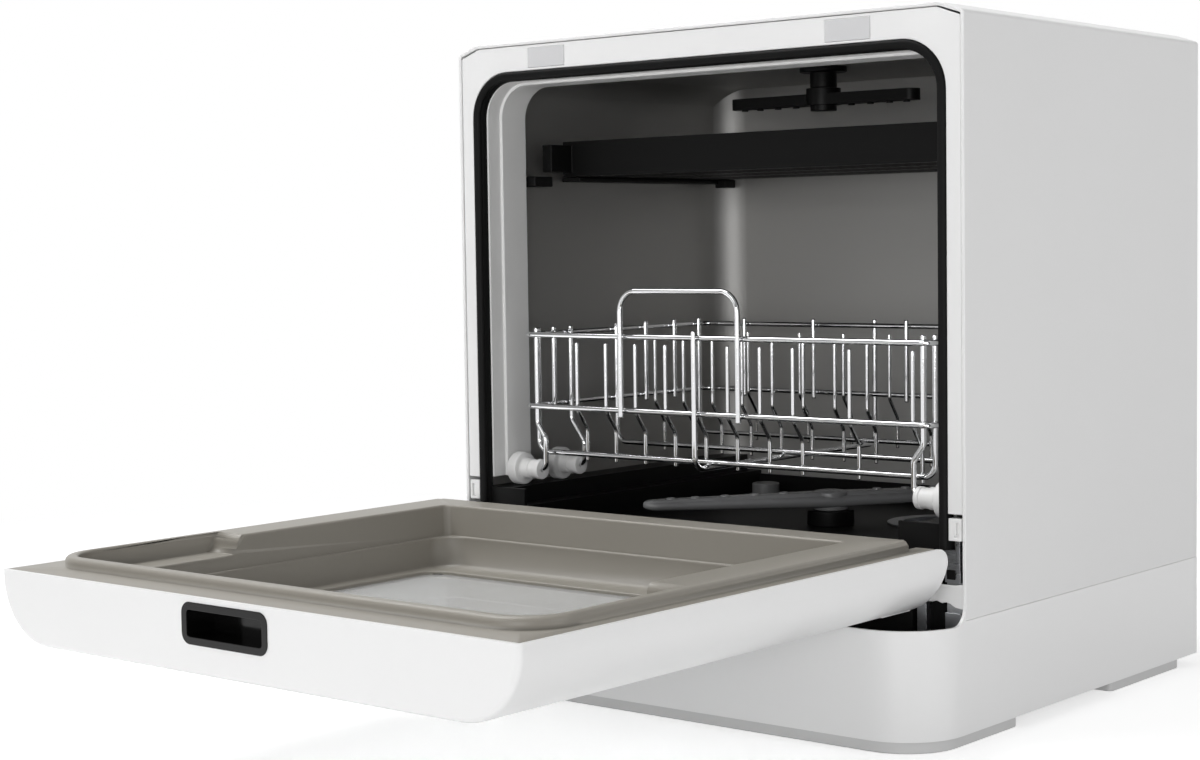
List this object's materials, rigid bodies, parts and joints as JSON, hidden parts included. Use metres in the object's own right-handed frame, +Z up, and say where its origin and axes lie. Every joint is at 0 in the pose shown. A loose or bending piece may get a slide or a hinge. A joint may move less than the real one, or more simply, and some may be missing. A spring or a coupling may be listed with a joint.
{
  "type": "countertop dishwasher",
  "caption": "Compact countertop dishwasher with a drop-down windowed door, a chrome wire rack on rollers, a sliding upper tray and rotating spray arms.",
  "frame": {"origin": "middle of the footprint with the door open, on the surface that the feet stand on", "axes": "+Z up; -Y towards the front, where the door opens; +X to the viewer's right"},
  "size_m": [0.42, 0.7476, 0.456],
  "materials": {
    "white_gloss": "gloss",
    "white_metal": "satin",
    "white_plastic": "satin",
    "grey_plastic": "satin",
    "foot_plastic": "matte",
    "stainless": "satin",
    "zinc_steel": "satin",
    "chrome_wire": "bright",
    "black_rubber": "satin",
    "black_plastic": "satin",
    "black_gloss": "gloss",
    "dark_grey_plastic": "satin",
    "taupe_plastic": "satin",
    "clear_glass": "polished",
    "natural_plastic": "satin",
    "board_green": "matte",
    "motor_metal": "satin",
    "magnet_dark": "satin"
  },
  "bodies": {
    "cabinet": {"outer_casing": "white_metal", "rear_panel": "white_metal", "front_bezel": "white_gloss", "catch_pads": "grey_plastic", "base_housing": "white_gloss", "feet": "foot_plastic", "tub_liner": "stainless", "tub_front_frame": "white_plastic", "door_gasket": "black_rubber", "sump_basin": "black_plastic", "hinge_well": "black_plastic", "filter_basket": "zinc_steel", "lower_arm_post": "black_plastic", "upper_arm_holder": "black_plastic", "feed_pipe": "black_plastic", "circulation_pump": "dark_grey_plastic", "pump_motor": "motor_metal", "drain_pump": "dark_grey_plastic", "water_heater": "stainless", "sump_hose": "black_rubber", "fan_housing": "dark_grey_plastic", "air_break": "natural_plastic", "control_board": "board_green", "inlet_valve": "natural_plastic", "drain_spigot": "black_plastic", "cord_gland": "black_rubber", "panel_screws": "zinc_steel", "hinge_brackets": "zinc_steel", "hinge_buffers": "black_rubber", "hinge_arms": "white_plastic", "hinge_covers": "white_plastic", "hinge_links": "zinc_steel", "tray_rails": "black_plastic"},
    "door": {"door_panel": "white_gloss", "door_liner": "taupe_plastic", "inner_glass": "clear_glass", "outer_glass": "clear_glass", "window_seal": "black_rubber", "handle_cup": "black_gloss", "touch_strip": "black_gloss", "door_board": "board_green", "door_magnets": "magnet_dark", "hinge_pins": "zinc_steel"},
    "rack": {"rack_rails": "chrome_wire", "rack_cross_wires": "chrome_wire", "rack_spine": "chrome_wire", "rack_uprights": "chrome_wire", "front_tines": "chrome_wire", "rear_tines": "chrome_wire", "rack_handle": "chrome_wire", "roller_axles": "chrome_wire"},
    "roller_front_left_wheel": {"roller_front_left": "white_plastic"},
    "roller_rear_left_wheel": {"roller_rear_left": "white_plastic"},
    "roller_front_right_wheel": {"roller_front_right": "white_plastic"},
    "roller_rear_right_wheel": {"roller_rear_right": "white_plastic"},
    "utensil_tray": {"upper_tray": "black_plastic"},
    "lower_arm": {"lower_spray_arm": "dark_grey_plastic"},
    "upper_arm": {"upper_spray_arm": "black_plastic"},
    "drying_fan": {"fan_wheel": "dark_grey_plastic"},
    "water_float": {"level_float": "dark_grey_plastic"}
  },
  "joints": [
    {"name": "door_hinge", "type": "hinge", "parent": "cabinet", "child": "door", "pos_m": [0, -0.00795, 0.09075], "axis": [1, 0, 0], "range_deg": [-90, 0], "deforming": ["door_gasket"]},
    {"name": "rack_slide", "type": "slide", "parent": "cabinet", "child": "rack", "axis": [0, -1, 0], "range_m": [0, 0.2]},
    {"name": "upper_tray_slide", "type": "slide", "parent": "cabinet", "child": "utensil_tray", "axis": [0, -1, 0], "range_m": [0, 0.14]},
    {"name": "lower_arm_spin", "type": "hinge", "parent": "cabinet", "child": "lower_arm", "pos_m": [0.008, 0.1818, 0.124], "axis": [0, 0, 1], "continuous": true},
    {"name": "upper_arm_spin", "type": "hinge", "parent": "cabinet", "child": "upper_arm", "pos_m": [0, 0.1888, 0.4135], "axis": [0, 0, 1], "continuous": true},
    {"name": "fan_spin", "type": "hinge", "parent": "cabinet", "child": "drying_fan", "pos_m": [-0.11, 0.3388, 0.339], "axis": [0, 1, 0], "continuous": true},
    {"name": "float_slide", "type": "slide", "parent": "cabinet", "child": "water_float", "axis": [0, 0, 1], "range_m": [0, 0.006]},
    {"name": "roller_front_left_spin", "type": "hinge", "parent": "rack", "child": "roller_front_left_wheel", "pos_m": [-0.18, 0.0568, 0.1485], "axis": [1, 0, 0], "continuous": true},
    {"name": "roller_rear_left_spin", "type": "hinge", "parent": "rack", "child": "roller_rear_left_wheel", "pos_m": [-0.18, 0.0998, 0.1485], "axis": [1, 0, 0], "continuous": true},
    {"name": "roller_front_right_spin", "type": "hinge", "parent": "rack", "child": "roller_front_right_wheel", "pos_m": [0.18, 0.0568, 0.1485], "axis": [1, 0, 0], "continuous": true},
    {"name": "roller_rear_right_spin", "type": "hinge", "parent": "rack", "child": "roller_rear_right_wheel", "pos_m": [0.18, 0.0998, 0.1485], "axis": [1, 0, 0], "continuous": true}
  ],
  "couplings": [
    {"joint": "roller_front_left_spin", "follows": "rack_slide", "rad_per_m": 83.333},
    {"joint": "roller_rear_left_spin", "follows": "rack_slide", "rad_per_m": 83.333},
    {"joint": "roller_front_right_spin", "follows": "rack_slide", "rad_per_m": 83.333},
    {"joint": "roller_rear_right_spin", "follows": "rack_slide", "rad_per_m": 83.333}
  ]
}
